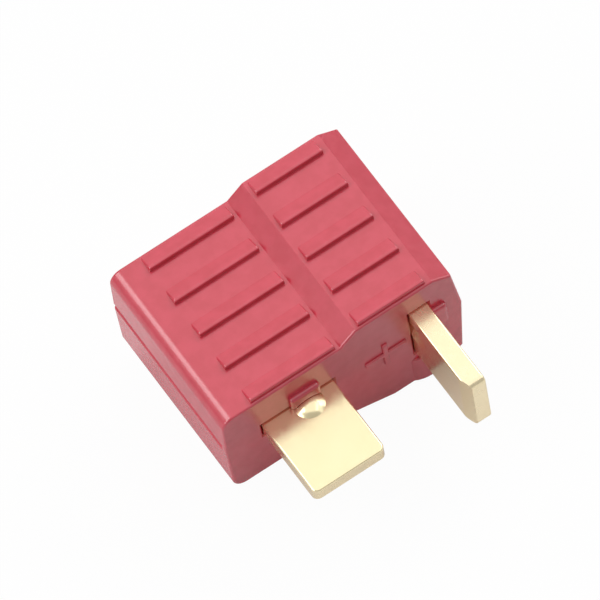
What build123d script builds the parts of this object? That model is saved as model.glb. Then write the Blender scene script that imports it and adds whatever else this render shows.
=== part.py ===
"""Two-blade battery connector plug: a stepped moulded housing that holds two flat blade contacts.

Millimetres. X runs across the two halves of the housing, Y from the mating face to the rear, Z up.
The origin is the middle of the mating face, level with the mould's parting plane, which is also
the middle of both blades. The blades point to -Y.
"""

import os

from build123d import *

# Housing outline. "Thin" is the half with the flat blade, "thick" the half with the upright one.
body_width = 16.0
body_length = 11.6
thin_above = 3.48
thin_below = 4.65
step_rise = 0.9
step_foot_x = 0.1
step_top_x = 1.22
under_step_top_x = 2.85
step_round = 0.3

# Mould draft: how far each outer side leans in from the parting plane to its corners.
thin_side_draft = 0.08
thick_side_draft = 0.39

# Outer edges along the housing, then the rims of the two end faces.
thin_corner_round = 0.85
bevel_width = 1.22
bevel_drop = 0.7
bevel_round = 0.45
rim_round = 0.15

# Grip ribs: a row on each half, above and below. Each is a wedge with its steep side to the front.
rib_count = 5
rib_front_setback = 0.17
rib_rear_setback = 0.17
rib_run = 1.05
rib_land = 0.2
rib_height = 0.34
rib_round = 0.1
rib_anchor = 0.6
rib_side_margin = 2.07
rib_step_margin = 0.25
rib_bevel_margin = 0.4

# Parting groove in the two narrow sides, which stops short of the mating face.
groove_radius = 0.4
groove_depth = 0.2
groove_stop = 0.45

# Blade contacts, stamped from one strip.
strip_width = 4.8
strip_thickness = 1.25
flat_x = -3.12
upright_x = 5.22
flat_reach = 5.3
upright_reach = 5.85
tip_corner = 0.4
edge_ease = 0.12
lead_in_length = 0.9
lead_in_drop = 0.3
shoulder_overhang = 0.35
shoulder_length = 1.4
tail_setback = 0.7
tail_corner = 0.6
dome_radius = 0.93
dome_height = 0.34
dome_y = -0.45
flat_dome_offset = 0.47
upright_dome_offset = -0.5

# The contacts' seats: a slot through the front wall, a pocket for the shoulders, and a lug
# on the mating face that covers the rear of each dome.
slot_clearance = 0.05
slot_mouth = 0.12
lug_width = 2.0
lug_height = 1.08
lug_reach = 0.32
lug_root = 0.4
lug_round = 0.25

# Shallow half-round pad on the mating face, from below the upright blade down to the bottom edge.
pad_width = 2.0
pad_relief = 0.26
pad_gap = 0.6
pad_root = 0.4
pad_round = 0.12

# Solder wells, open at the rear.
well_depth = 5.4
well_round = 0.6
well_mouth = 0.25
flat_well_margin = 0.65
flat_well_above = 2.4
flat_well_below = 3.2
upright_well_left = 3.2
upright_well_right = 0.75
upright_well_margin = 0.75

thick_above = thin_above + step_rise
thick_below = thin_below + step_rise
half_width = body_width / 2
thin_side = half_width - thin_side_draft
thick_side = half_width - thick_side_draft
bevel_x = thick_side - bevel_width
front_wall = body_length - well_depth
shoulder_y = front_wall - shoulder_length
tail_y = body_length - tail_setback
half_strip = strip_thickness / 2
shoulder_width = strip_width + 2 * shoulder_overhang

rib_row = body_length - rib_front_setback - rib_rear_setback
rib_pitch = (rib_row - rib_run) / (rib_count - 1)
thin_rib_ends = (rib_side_margin - thin_side, step_foot_x - rib_step_margin)
thick_rib_ends = (step_top_x + rib_step_margin, bevel_x - rib_bevel_margin)
under_rib_ends = (under_step_top_x + rib_step_margin, bevel_x - rib_bevel_margin)

# Where each contact lies: local X is the strip's width, local Y the housing's, local Z its domed face.
flat_seat = Plane(origin=(flat_x, 0, 0), x_dir=(1, 0, 0), z_dir=(0, 0, 1))
upright_seat = Plane(origin=(upright_x, 0, 0), x_dir=(0, 0, -1), z_dir=(1, 0, 0))


def across(seat, y):
    """The plane that cuts a contact square across at a distance y behind the mating face."""
    return Plane(origin=seat.from_local_coords(Vector(0, y, 0)), x_dir=seat.x_dir, z_dir=(0, 1, 0))


def side_of(seat):
    """The plane that shows a contact edge on: local X is the housing's Y, local Y the seat's Z."""
    return Plane(origin=seat.origin, x_dir=(0, 1, 0), z_dir=Vector(0, 1, 0).cross(seat.z_dir))


def housing_section():
    """The housing's cross-section, seen from the mating face, with its rounded outer edges."""
    with BuildSketch() as section:
        with BuildLine():
            Polyline(
                (-half_width, 0),
                (-thin_side, thin_above),
                (step_foot_x, thin_above),
                (step_top_x, thick_above),
                (bevel_x, thick_above),
                (thick_side, thick_above - bevel_drop),
                (half_width, 0),
                (thick_side, bevel_drop - thick_below),
                (bevel_x, -thick_below),
                (under_step_top_x, -thick_below),
                (step_foot_x, -thin_below),
                (-thin_side, -thin_below),
                close=True,
            )
        make_face()
        by_x = section.vertices().sort_by(Axis.X)
        thin_corners = by_x[1:3]
        step_corners = by_x[3:7]
        bevel_corners = by_x[7:11]
        fillet(thin_corners, radius=thin_corner_round)
        fillet(step_corners, radius=step_round)
        fillet(bevel_corners, radius=bevel_round)
    return section.sketch


def grip_ribs(ends, face_z):
    """One row of wedge ribs across a half, rooted below the face at face_z."""
    left, right = ends
    with BuildPart() as ribs:
        with BuildSketch(Plane.YZ.offset(left)):
            for i in range(rib_count):
                front = rib_front_setback + i * rib_pitch
                with BuildLine():
                    Polyline(
                        (front, face_z - rib_anchor),
                        (front, face_z + rib_height),
                        (front + rib_land, face_z + rib_height),
                        (front + rib_run, face_z),
                        (front + rib_run, face_z - rib_anchor),
                        close=True,
                    )
                make_face()
        extrude(amount=right - left)
        crests = ribs.edges().filter_by(Axis.X).group_by(Axis.Z)[-1]
        end_edges = ribs.faces().filter_by(Axis.X).edges()
        end_tops = end_edges.filter_by_position(Axis.Z, face_z, face_z + 2 * rib_height)
        fillet(crests + end_tops, radius=rib_round)
    return ribs.part


def dome_cap(seat, level, dome_x, gap=0.0):
    """The spherical cap of a contact's dome, standing on a level of the strip, with a gap over it."""
    foot = seat.offset(level)
    radius = (dome_radius**2 + dome_height**2) / (2 * dome_height)
    with BuildPart(foot) as cap:
        with Locations((dome_x, dome_y, dome_height - radius)):
            Sphere(radius + gap)
        split(bisect_by=foot, keep=Keep.TOP)
    return cap.part


def blade_contact(seat, reach, dome_x):
    """One contact: a strip with a tapered tip, shoulders that seat in the housing, and a solder tail."""
    slim = strip_width / 2
    wide = shoulder_width / 2
    with BuildPart() as contact:
        with BuildSketch(seat.offset(-half_strip)) as plan:
            with BuildLine():
                Polyline(
                    (-slim, -reach),
                    (slim, -reach),
                    (slim, shoulder_y),
                    (wide, shoulder_y),
                    (wide, front_wall),
                    (slim, front_wall),
                    (slim, tail_y),
                    (-slim, tail_y),
                    (-slim, front_wall),
                    (-wide, front_wall),
                    (-wide, shoulder_y),
                    (-slim, shoulder_y),
                    close=True,
                )
            make_face()
            by_y = plan.vertices().sort_by(Axis.Y)
            fillet(by_y[:2], radius=tip_corner)
            fillet(by_y[-2:], radius=tail_corner)
        extrude(amount=strip_thickness)
        outward = Axis(origin=seat.origin, direction=seat.z_dir)
        outline = contact.faces().filter_by(outward).edges()
        fillet(outline.filter_by_position(Axis.Y, -reach, 0), radius=edge_ease)
        with BuildSketch(side_of(seat)):
            with BuildLine():
                Polyline(
                    (-reach, lead_in_drop - half_strip),
                    (-reach, -half_strip),
                    (lead_in_length - reach, -half_strip),
                    close=True,
                )
            make_face()
        extrude(amount=strip_width, both=True, mode=Mode.SUBTRACT)
        add(dome_cap(seat, half_strip, dome_x))
        add(dome_cap(seat, -half_strip, dome_x), mode=Mode.SUBTRACT)
    return contact.part


def contact_slot(seat):
    """The cut for a contact in the front wall: a slot, its flared mouth and the shoulders' pocket."""
    slot_width = strip_width + 2 * slot_clearance
    slot_height = strip_thickness + 2 * slot_clearance
    with BuildPart() as slot:
        with BuildSketch(across(seat, 0)):
            Rectangle(slot_width, slot_height)
        extrude(amount=front_wall)
        with BuildSketch(across(seat, 0)):
            Rectangle(slot_width + 2 * slot_mouth, slot_height + 2 * slot_mouth)
        extrude(amount=slot_mouth, taper=45)
        with BuildSketch(across(seat, shoulder_y)):
            Rectangle(shoulder_width + 2 * slot_clearance, slot_height)
        extrude(amount=shoulder_length)
    return slot.part


def lug(seat, dome_x):
    """The rounded lug that stands out of the mating face over the rear of a contact's dome."""
    with BuildPart() as block:
        with BuildSketch(seat.offset(half_strip + slot_clearance)):
            with Locations((dome_x, (lug_root - lug_reach) / 2)):
                Rectangle(lug_width, lug_root + lug_reach)
        extrude(amount=lug_height - slot_clearance)
        outward = Axis(origin=seat.origin, direction=seat.z_dir)
        outer_edges = block.faces().sort_by(outward)[-1].edges()
        front_corners = block.edges().filter_by(outward).group_by(Axis.Y)[0]
        fillet(outer_edges + front_corners, radius=lug_round)
    return block.part


def face_pad(pad_x, top_z, bottom_z):
    """The half-round pad that stands out of the mating face between two heights."""
    radius = (pad_relief**2 + (pad_width / 2) ** 2) / (2 * pad_relief)
    with BuildPart() as pad:
        with BuildSketch(Plane.XY.offset(bottom_z)):
            with Locations((pad_x, (pad_root - pad_relief) / 2)):
                Rectangle(pad_width, pad_root + pad_relief)
            with Locations((pad_x, radius - pad_relief)):
                Circle(radius, mode=Mode.INTERSECT)
        extrude(amount=top_z - bottom_z)
        arcs = pad.edges().filter_by(GeomType.CIRCLE)
        fillet(arcs, radius=pad_round)
    return pad.part


def solder_well(left, right, bottom, top):
    """A rounded pocket in the rear face, with a flared mouth."""
    middle = ((left + right) / 2, (bottom + top) / 2)
    width = right - left
    height = top - bottom
    rear = Plane.XZ.offset(-body_length)
    with BuildPart() as well:
        with BuildSketch(rear):
            with Locations(middle):
                RectangleRounded(width, height, well_round)
        extrude(amount=well_depth)
        with BuildSketch(rear):
            with Locations(middle):
                RectangleRounded(width + 2 * well_mouth, height + 2 * well_mouth, well_round + well_mouth)
        extrude(amount=well_mouth, taper=45)
    return well.part


os.makedirs("parts", exist_ok=True)

with BuildPart() as housing:
    with BuildSketch(Plane.XZ):
        add(housing_section())
    extrude(amount=-body_length)
    fillet(housing.faces().sort_by(Axis.Y)[0].edges(), radius=rim_round)
    fillet(housing.faces().sort_by(Axis.Y)[-1].edges(), radius=rim_round)

    add(grip_ribs(thin_rib_ends, thin_above))
    add(grip_ribs(thick_rib_ends, thick_above))
    mirror(grip_ribs(thin_rib_ends, thin_below), about=Plane.XY)
    mirror(grip_ribs(under_rib_ends, thick_below), about=Plane.XY)

    pad_top = -strip_width / 2 - pad_gap
    add(face_pad(upright_x, pad_top, -thick_below))

    with BuildSketch(Plane.XZ.offset(-body_length)):
        groove_x = half_width + groove_radius - groove_depth
        with Locations((-groove_x, 0), (groove_x, 0)):
            Circle(groove_radius)
    extrude(amount=body_length - groove_stop, mode=Mode.SUBTRACT)

    flat_half = strip_width / 2 + flat_well_margin
    add(
        solder_well(flat_x - flat_half, flat_x + flat_half, -flat_well_below, flat_well_above),
        mode=Mode.SUBTRACT,
    )
    upright_half = strip_width / 2 + upright_well_margin
    upright_left = upright_x - half_strip - upright_well_left
    upright_right = upright_x + half_strip + upright_well_right
    add(solder_well(upright_left, upright_right, -upright_half, upright_half), mode=Mode.SUBTRACT)

    for seat, dome_x in ((flat_seat, flat_dome_offset), (upright_seat, upright_dome_offset)):
        add(contact_slot(seat), mode=Mode.SUBTRACT)
        add(lug(seat, dome_x))
        add(dome_cap(seat, half_strip, dome_x, gap=slot_clearance), mode=Mode.SUBTRACT)
housing.part.label = "housing"
export_step(housing.part, "parts/housing.step")

flat_contact = blade_contact(flat_seat, flat_reach, flat_dome_offset)
flat_contact.label = "flat_contact"
export_step(flat_contact, "parts/flat_contact.step")

upright_contact = blade_contact(upright_seat, upright_reach, upright_dome_offset)
upright_contact.label = "upright_contact"
export_step(upright_contact, "parts/upright_contact.step")
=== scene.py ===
"""Battery connector plug: a red moulded housing with one level and one upright gold-plated blade.

Metres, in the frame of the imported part: X across, the blades towards -Y, +Z up. The mating face is y = 0.
"""

import math

import bpy
import numpy as np
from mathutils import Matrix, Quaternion, Vector


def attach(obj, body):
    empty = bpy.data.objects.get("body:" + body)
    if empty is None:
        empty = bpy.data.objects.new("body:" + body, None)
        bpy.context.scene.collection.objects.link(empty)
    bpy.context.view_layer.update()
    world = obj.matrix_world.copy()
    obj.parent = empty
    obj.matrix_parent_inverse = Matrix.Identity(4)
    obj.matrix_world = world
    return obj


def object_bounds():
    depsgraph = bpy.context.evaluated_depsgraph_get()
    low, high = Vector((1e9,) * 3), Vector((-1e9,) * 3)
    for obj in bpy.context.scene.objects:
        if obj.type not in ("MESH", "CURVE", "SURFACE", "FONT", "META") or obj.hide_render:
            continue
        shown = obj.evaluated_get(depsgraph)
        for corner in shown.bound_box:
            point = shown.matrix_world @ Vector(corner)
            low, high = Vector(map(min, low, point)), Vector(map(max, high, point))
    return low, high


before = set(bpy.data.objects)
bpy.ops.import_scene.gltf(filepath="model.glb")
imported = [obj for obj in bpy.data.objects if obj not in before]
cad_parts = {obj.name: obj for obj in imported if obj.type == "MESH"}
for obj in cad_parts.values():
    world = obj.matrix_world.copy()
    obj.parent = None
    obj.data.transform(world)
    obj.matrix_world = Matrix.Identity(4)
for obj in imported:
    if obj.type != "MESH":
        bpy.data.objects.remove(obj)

cad_low, cad_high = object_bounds()

MM = 0.001

WHITE = (1, 1, 1, 1)

# The photograph's view: a long lens above the thin half's front corner, leaning a little. Angles are in
# degrees, and the lens and the sensor's width in millimetres.
VIEW_AZIMUTH = -23.54
VIEW_ELEVATION = 62.79
VIEW_ROLL = 11.53
VIEW_AIM = Vector((0.217, 4.484, 2.263)) * MM
VIEW_DISTANCE = 673.0 * MM
VIEW_LENS = 720.0
SENSOR_WIDTH = 36.0

# Plus sign on the mating face. The root is how deep it is sunk in the face.
PLUS_X = 2.74 * MM
PLUS_Z = -0.2 * MM
PLUS_HALF_WIDE = 1.38 * MM
PLUS_HALF_TALL = 1.1 * MM
PLUS_STROKE = 0.36 * MM
PLUS_RELIEF = 0.14 * MM
PLUS_ROUND = 0.1 * MM
PLUS_ROOT = 0.1 * MM
PLUS_SIDE_STEPS = 6
PLUS_ROUND_RINGS = 7

# Noise keeps mostly to this span of its full range from 0 to 1.
NOISE_SPAN = (0.3, 0.7)

# Red nylon. Grain and patch are how many features lie along a metre.
NYLON_DEEP = (0.565, 0.016, 0.044, 1)
NYLON_BRIGHT = (0.615, 0.026, 0.060, 1)
# Painted glow: sharp edges are painted this brighter, more saturated red, standing in for light shining
# through the thin nylon.
NYLON_EDGE_PAINTED_GLOW = (0.70, 0.022, 0.046, 1)
NYLON_EDGE_GLOW_SHARE = 0.35
NYLON_EDGE_RADIUS = 0.06 * MM
NYLON_EDGE_GAIN = 5.0
NYLON_GRAIN = 1800.0
NYLON_PATCH = 1100.0
NYLON_ROUGHNESS = (0.22, 0.25)
NYLON_IOR = 1.57
NYLON_SPECULAR = 1.0
NYLON_BUMP_STRENGTH = 0.01
NYLON_BUMP_DEPTH = 0.01 * MM

# Gold plate. A streak is drawn out along the blade, as its scale along Y is much smaller. The sheared
# span is how far the normal leans to the broad faces' axis, from a sheared edge to a broad face.
GOLD_DEEP = (0.93, 0.79, 0.48, 1)
GOLD_PALE = (0.95, 0.83, 0.54, 1)
GOLD_SHEARED = (0.94, 0.80, 0.55, 1)
GOLD_SHEARED_SPAN = (0.25, 0.75)
GOLD_SHEARED_SHARE = 0.5
GOLD_METALLIC = 0.92
GOLD_PATCH = 420.0
GOLD_ROUGHNESS = (0.16, 0.22)
GOLD_STREAK_WIDTH = 0.16 * MM
GOLD_STREAK_STRETCH = (1.0, 0.06, 1.0)
GOLD_STREAK_ROUGHNESS = 0.04
GOLD_SHEARED_ROUGHNESS = 0.05

# Floor and surround. Seen is the share of plain white for the camera, mirrored for reflections.
FLOOR_COLOUR = (0.84, 0.84, 0.84, 1)
FLOOR_ROUGHNESS = 0.9
FLOOR_SPECULAR = 0.1
FLOOR_SEEN = 0.96
FLOOR_MIRRORED = 0.12
FLOOR_RADIUS = 3.0
FLOOR_SIDES = 96
WORLD_LIGHT = 0.12
WORLD_SEEN = 1.0
WORLD_MIRRORED = 0.45

# Softboxes: name, azimuth and elevation in degrees, distance, width and height in metres, and radiance.
SOFTBOXES = [
    ("top_softbox", 155, 78, 0.5, 0.78, 0.78, 0.66),
    ("right_softbox", 130, 38, 0.6, 0.5, 0.25, 2.6),
    ("left_softbox", -120, 50, 0.6, 0.4, 0.3, 2.7),
    ("front_right_softbox", 60, 48, 0.6, 0.4, 0.3, 0.7),
    ("low_rear_softbox", 160, 24, 0.6, 0.5, 0.3, 0.45),
    ("low_left_softbox", -92, 28, 0.6, 0.4, 0.3, 2.6),
    ("low_right_softbox", 92, 32, 0.6, 0.4, 0.3, 1.4),
]

# A Mix node has a set of sockets for each type of data. These are the ones for colours.
MIX_SHARE, MIX_FIRST, MIX_SECOND = 0, 6, 7
MIX_RESULT = 2


# Shader nodes

def add_node(tree, kind, **settings):
    """A shader node with its settings, and its sockets' values given as {socket: value} in values."""
    node = tree.nodes.new(kind)
    values = settings.pop("values", {})
    for name, value in settings.items():
        setattr(node, name, value)
    for socket, value in values.items():
        node.inputs[socket].default_value = value
    return node


def feed(tree, socket, value):
    """Gives an input its value, which is another node's output, a number or a colour."""
    if isinstance(value, bpy.types.NodeSocket):
        tree.links.new(value, socket)
    else:
        socket.default_value = value


def maths(tree, operation, first, second=None, clamp=False):
    """One Math node. Each of first and second is a socket or a number."""
    node = add_node(tree, "ShaderNodeMath", operation=operation, use_clamp=clamp)
    feed(tree, node.inputs[0], first)
    if second is not None:
        feed(tree, node.inputs[1], second)
    return node.outputs[0]


def blend_colours(tree, share, first, second):
    """One colour Mix node. share is a socket or a number, first and second are sockets or colours."""
    node = add_node(tree, "ShaderNodeMix", data_type="RGBA")
    feed(tree, node.inputs[MIX_SHARE], share)
    feed(tree, node.inputs[MIX_FIRST], first)
    feed(tree, node.inputs[MIX_SECOND], second)
    return node.outputs[MIX_RESULT]


def noise(tree, vector, scale, detail, distortion=0.0):
    """Noise from 0 to 1. scale, a socket or a number, is how many features lie along a metre."""
    node = add_node(
        tree, "ShaderNodeTexNoise",
        values={"Detail": detail, "Roughness": 0.5, "Distortion": distortion},
    )
    tree.links.new(vector, node.inputs["Vector"])
    feed(tree, node.inputs["Scale"], scale)
    return node.outputs["Fac"]


def spread(tree, value, span, target, smooth=True):
    """Map Range from span to target, each a pair of numbers, clamped to target."""
    node = add_node(
        tree, "ShaderNodeMapRange", interpolation_type="SMOOTHSTEP" if smooth else "LINEAR",
        values={"From Min": span[0], "From Max": span[1], "To Min": target[0], "To Max": target[1]},
    )
    tree.links.new(value, node.inputs["Value"])
    return node.outputs["Result"]


def start_group(name, inputs, outputs):
    """A new shader node group with its input and output nodes; inputs give (name, type, default)."""
    tree = bpy.data.node_groups.new(name, "ShaderNodeTree")
    for label, kind, default in inputs:
        socket = tree.interface.new_socket(label, in_out="INPUT", socket_type=kind)
        if default is not None:
            socket.default_value = default
    for label, kind in outputs:
        tree.interface.new_socket(label, in_out="OUTPUT", socket_type=kind)
    return tree, tree.nodes.new("NodeGroupInput"), tree.nodes.new("NodeGroupOutput")


def edge_mask_group():
    """A mask that is above 0 along sharp edges and 0 on flat faces.

    It is one minus the dot product of the normal rounded over the radius and the true normal, times a gain.
    """
    tree, entry, leave = start_group(
        "edge_mask",
        [("Radius", "NodeSocketFloat", 0.05 * MM), ("Gain", "NodeSocketFloat", 6.0)],
        [("Edge", "NodeSocketFloat")],
    )
    rounded = add_node(tree, "ShaderNodeBevel", samples=6)
    tree.links.new(entry.outputs["Radius"], rounded.inputs["Radius"])
    true_normal = add_node(tree, "ShaderNodeNewGeometry")
    dot = add_node(tree, "ShaderNodeVectorMath", operation="DOT_PRODUCT")
    tree.links.new(rounded.outputs["Normal"], dot.inputs[0])
    tree.links.new(true_normal.outputs["Normal"], dot.inputs[1])
    bend = maths(tree, "SUBTRACT", 1.0, dot.outputs["Value"])
    tree.links.new(maths(tree, "MULTIPLY", bend, entry.outputs["Gain"], clamp=True), leave.inputs["Edge"])
    return tree


def surface_grain_group():
    """Grain of a moulded or plated surface: a height for bump, patches for colour, a drift for roughness.

    The drift's features are a third of the patches' size.
    """
    tree, entry, leave = start_group(
        "surface_grain",
        [
            ("Vector", "NodeSocketVector", None),
            ("Grain", "NodeSocketFloat", 8000.0),
            ("Patch", "NodeSocketFloat", 300.0),
        ],
        [("Height", "NodeSocketFloat"), ("Patches", "NodeSocketFloat"), ("Drift", "NodeSocketFloat")],
    )
    place, patch = entry.outputs["Vector"], entry.outputs["Patch"]
    tree.links.new(noise(tree, place, entry.outputs["Grain"], 1.0), leave.inputs["Height"])
    tree.links.new(noise(tree, place, patch, 2.0), leave.inputs["Patches"])
    drift = noise(tree, place, maths(tree, "MULTIPLY", patch, 3.0), 1.0, distortion=0.4)
    tree.links.new(drift, leave.inputs["Drift"])
    return tree


def place_group(tree, group, **values):
    """A group node in a material, with its inputs' values."""
    return add_node(tree, "ShaderNodeGroup", node_tree=group, values=values)


# Materials

def start_material(name):
    """A material with only a Principled BSDF and its output."""
    material = bpy.data.materials.new(name)
    material.use_nodes = True
    tree = material.node_tree
    tree.nodes.clear()
    output = tree.nodes.new("ShaderNodeOutputMaterial")
    shader = tree.nodes.new("ShaderNodeBsdfPrincipled")
    tree.links.new(shader.outputs["BSDF"], output.inputs["Surface"])
    return material, tree, shader, output


def red_nylon(groups):
    """Satin red nylon: faint colour patches, a slight drift in its gloss, fine grain, and sharp edges
    painted a brighter red as a painted glow of light through the thin nylon.
    """
    material, tree, shader, _ = start_material("red_nylon")
    place = tree.nodes.new("ShaderNodeTexCoord")
    grain = place_group(tree, groups["surface_grain"], Grain=NYLON_GRAIN, Patch=NYLON_PATCH)
    edges = place_group(tree, groups["edge_mask"], Radius=NYLON_EDGE_RADIUS, Gain=NYLON_EDGE_GAIN)
    tree.links.new(place.outputs["Object"], grain.inputs["Vector"])

    mottled = spread(tree, grain.outputs["Patches"], NOISE_SPAN, (0.0, 1.0))
    patched = blend_colours(tree, mottled, NYLON_DEEP, NYLON_BRIGHT)
    # Painted glow on sharp edges: a brighter red in the base colour, for light through the thin nylon.
    on_edges = maths(tree, "MULTIPLY", edges.outputs["Edge"], NYLON_EDGE_GLOW_SHARE)
    tree.links.new(blend_colours(tree, on_edges, patched, NYLON_EDGE_PAINTED_GLOW), shader.inputs["Base Color"])
    rough = spread(tree, grain.outputs["Drift"], NOISE_SPAN, NYLON_ROUGHNESS)
    tree.links.new(rough, shader.inputs["Roughness"])
    shader.inputs["IOR"].default_value = NYLON_IOR
    shader.inputs["Specular IOR Level"].default_value = NYLON_SPECULAR

    bump = add_node(
        tree, "ShaderNodeBump", values={"Strength": NYLON_BUMP_STRENGTH, "Distance": NYLON_BUMP_DEPTH},
    )
    tree.links.new(grain.outputs["Height"], bump.inputs["Height"])
    tree.links.new(bump.outputs["Normal"], shader.inputs["Normal"])
    return material


def gold_plate(groups, name, thickness_axis):
    """Satin gold plate on rolled strip: streaks along the blade, paler and rougher sheared edges.

    thickness_axis is "X" or "Z", the axis that the strip's broad faces look along. Where the normal
    has little of that axis, the surface is a sheared edge.
    """
    material, tree, shader, _ = start_material(name)
    place = tree.nodes.new("ShaderNodeTexCoord")
    grain = place_group(tree, groups["surface_grain"], Patch=GOLD_PATCH)
    tree.links.new(place.outputs["Object"], grain.inputs["Vector"])

    stretch = add_node(tree, "ShaderNodeMapping", values={"Scale": GOLD_STREAK_STRETCH})
    tree.links.new(place.outputs["Object"], stretch.inputs["Vector"])
    streaks = noise(tree, stretch.outputs["Vector"], 1.0 / GOLD_STREAK_WIDTH, 1.0)

    axes = add_node(tree, "ShaderNodeSeparateXYZ")
    tree.links.new(place.outputs["Normal"], axes.inputs["Vector"])
    broad = maths(tree, "ABSOLUTE", axes.outputs[thickness_axis])
    sheared = spread(tree, broad, GOLD_SHEARED_SPAN, (1.0, 0.0))

    patched = blend_colours(tree, grain.outputs["Patches"], GOLD_DEEP, GOLD_PALE)
    on_edges = maths(tree, "MULTIPLY", sheared, GOLD_SHEARED_SHARE)
    tree.links.new(blend_colours(tree, on_edges, patched, GOLD_SHEARED), shader.inputs["Base Color"])
    shader.inputs["Metallic"].default_value = GOLD_METALLIC

    smooth = spread(tree, grain.outputs["Drift"], NOISE_SPAN, GOLD_ROUGHNESS)
    streaked = maths(tree, "ADD", smooth, maths(tree, "MULTIPLY", streaks, GOLD_STREAK_ROUGHNESS))
    dull = maths(tree, "ADD", streaked, maths(tree, "MULTIPLY", sheared, GOLD_SHEARED_ROUGHNESS))
    tree.links.new(dull, shader.inputs["Roughness"])
    return material


# Pieces

def add_piece(name, mesh, material):
    """A new object in the scene with one material."""
    piece = bpy.data.objects.new(name, mesh)
    bpy.context.scene.collection.objects.link(piece)
    mesh.materials.append(material)
    return piece


def plus_outline(half_wide, half_tall, half_stroke, steps):
    """The closed outline of a plus sign, counter-clockwise, each of its 12 sides cut in equal steps."""
    a, b, w = half_wide, half_tall, half_stroke
    corners = np.array([
        (a, -w), (a, w), (w, w), (w, b), (-w, b), (-w, w),
        (-a, w), (-a, -w), (-w, -w), (-w, -b), (w, -b), (w, -w),
    ])
    nexts = np.roll(corners, -1, axis=0)
    share = np.arange(steps) / steps
    return (corners[:, None] + (nexts - corners)[:, None] * share[:, None]).reshape(-1, 2)


def grid_mesh(name, rows):
    """A mesh from rows of points, shape (rows, around, 3), closed around and left open along."""
    count, around = rows.shape[:2]
    first = (np.arange(count - 1)[:, None] * around + np.arange(around)).ravel()
    second = (np.arange(count - 1)[:, None] * around + np.roll(np.arange(around), -1)).ravel()
    faces = np.stack([first, second, second + around, first + around], axis=1)
    mesh = bpy.data.meshes.new(name)
    mesh.from_pydata(rows.reshape(-1, 3).tolist(), [], faces.tolist())
    mesh.update()
    return mesh


def plus_sign(material):
    """The raised plus sign: its outline is carried up a wall, round a quarter circle and in to its spine.

    A ring that lies a distance d inside the outline is the plus with both arms and the stroke less by d.
    The wall rises from the root, sunk in the face, to the relief less the rounding; on the quarter circle
    d = r (1 - cos t) and the height gains r sin t; the last ring has no stroke left and closes the top.
    """
    turn = np.linspace(0, math.pi / 2, PLUS_ROUND_RINGS)
    inset = np.concatenate([[PLUS_STROKE / 2, 0.0], PLUS_ROUND * (1 - np.cos(turn)), [PLUS_STROKE / 2]])
    wall = PLUS_RELIEF - PLUS_ROUND
    rise = np.concatenate([[-PLUS_ROOT, -PLUS_ROOT], wall + PLUS_ROUND * np.sin(turn), [PLUS_RELIEF]])
    rows = []
    for d, h in zip(inset, rise):
        ring = plus_outline(PLUS_HALF_WIDE - d, PLUS_HALF_TALL - d, PLUS_STROKE / 2 - d, PLUS_SIDE_STEPS)
        rows.append(np.column_stack([PLUS_X + ring[:, 0], np.full(len(ring), -h), PLUS_Z + ring[:, 1]]))
    piece = add_piece("plus_sign", grid_mesh("plus_sign", np.array(rows)), material)
    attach(piece, "root")


def dress(node, material):
    """Gives a CAD node its finish."""
    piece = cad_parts[node]
    piece.data.materials.clear()
    piece.data.materials.append(material)


# Stage

def white_share(tree, camera_share, mirror_share):
    """How much of a surface's look is plain white: by camera rays, and by glossy and transmission rays."""
    path = tree.nodes.new("ShaderNodeLightPath")
    seen = maths(tree, "MULTIPLY", path.outputs["Is Camera Ray"], camera_share)
    mirrored = maths(tree, "MAXIMUM", path.outputs["Is Glossy Ray"], path.outputs["Is Transmission Ray"])
    return maths(tree, "ADD", seen, maths(tree, "MULTIPLY", mirrored, mirror_share), clamp=True)


def floor_material():
    """Pale matt floor with the object's shadow: nearly white to the camera, less so when mirrored."""
    material, tree, shader, output = start_material("pale_floor")
    shader.inputs["Base Color"].default_value = FLOOR_COLOUR
    shader.inputs["Roughness"].default_value = FLOOR_ROUGHNESS
    shader.inputs["Specular IOR Level"].default_value = FLOOR_SPECULAR
    glow = add_node(tree, "ShaderNodeEmission", values={"Color": WHITE, "Strength": 1.0})
    mix = tree.nodes.new("ShaderNodeMixShader")
    tree.links.new(white_share(tree, FLOOR_SEEN, FLOOR_MIRRORED), mix.inputs[0])
    tree.links.new(shader.outputs["BSDF"], mix.inputs[1])
    tree.links.new(glow.outputs["Emission"], mix.inputs[2])
    tree.links.new(mix.outputs["Shader"], output.inputs["Surface"])
    return material


def floor(level):
    """A round floor under the object."""
    turn = np.linspace(0, 2 * math.pi, FLOOR_SIDES, endpoint=False)
    ring = np.column_stack([
        FLOOR_RADIUS * np.cos(turn), FLOOR_RADIUS * np.sin(turn), np.full(FLOOR_SIDES, level),
    ])
    mesh = bpy.data.meshes.new("floor")
    mesh.from_pydata(ring.tolist(), [], [list(range(FLOOR_SIDES))])
    piece = add_piece("floor", mesh, floor_material())


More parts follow.
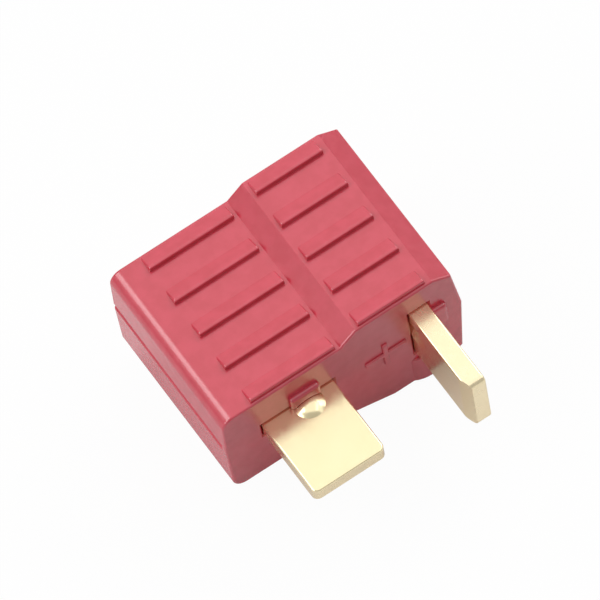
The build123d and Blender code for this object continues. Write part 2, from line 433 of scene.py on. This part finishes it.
def surround():
    """An even surround: white to the camera, about half as bright in reflections, and dim as light."""
    world = bpy.data.worlds.new("surround")
    bpy.context.scene.world = world
    world.use_nodes = True
    tree = world.node_tree
    background = next(n for n in tree.nodes if n.type == "BACKGROUND")
    background.inputs["Color"].default_value = WHITE
    share = white_share(tree, WORLD_SEEN, WORLD_MIRRORED)
    strength = spread(tree, share, (0.0, 1.0), (WORLD_LIGHT, 1.0), smooth=False)
    tree.links.new(strength, background.inputs["Strength"])


def direction(azimuth, elevation):
    """The unit vector to a place round the object. Azimuth 0 is in front of the mating face, 90 at +X."""
    a, e = math.radians(azimuth), math.radians(elevation)
    return Vector((math.sin(a) * math.cos(e), -math.cos(a) * math.cos(e), math.sin(e)))


def place_looking(piece, location, turn):
    """Puts a lamp or camera in the scene, at a place and turned by a quaternion."""
    piece.location = location
    piece.rotation_mode = "QUATERNION"
    piece.rotation_quaternion = turn
    bpy.context.scene.collection.objects.link(piece)


def softbox(name, azimuth, elevation, distance, width, height, radiance):
    """A rectangular lamp that looks at the object."""
    lamp = bpy.data.lights.new(name, "AREA")
    lamp.shape = "RECTANGLE"
    lamp.size = width
    lamp.size_y = height
    lamp.energy = radiance * math.pi * width * height
    back = direction(azimuth, elevation)
    place_looking(bpy.data.objects.new(name, lamp), back * distance, back.to_track_quat("Z", "Y"))


def camera():
    """The photograph's camera."""
    lens = bpy.data.cameras.new("camera")
    lens.lens = VIEW_LENS
    lens.sensor_width = SENSOR_WIDTH
    back = direction(VIEW_AZIMUTH, VIEW_ELEVATION)
    turn = (-back).to_track_quat("-Z", "Y") @ Quaternion((0, 0, 1), -math.radians(VIEW_ROLL))
    piece = bpy.data.objects.new("camera", lens)
    place_looking(piece, VIEW_AIM + back * VIEW_DISTANCE, turn)
    bpy.context.scene.camera = piece


groups = {"surface_grain": surface_grain_group(), "edge_mask": edge_mask_group()}
nylon = red_nylon(groups)
dress("housing", nylon)
dress("flat_contact", gold_plate(groups, "gold_plate_flat", "Z"))
dress("upright_contact", gold_plate(groups, "gold_plate_upright", "X"))
plus_sign(nylon)

camera()
floor(cad_low.z)
surround()
for lamp_values in SOFTBOXES:
    softbox(*lamp_values)
bpy.context.scene.view_settings.view_transform = "Standard"
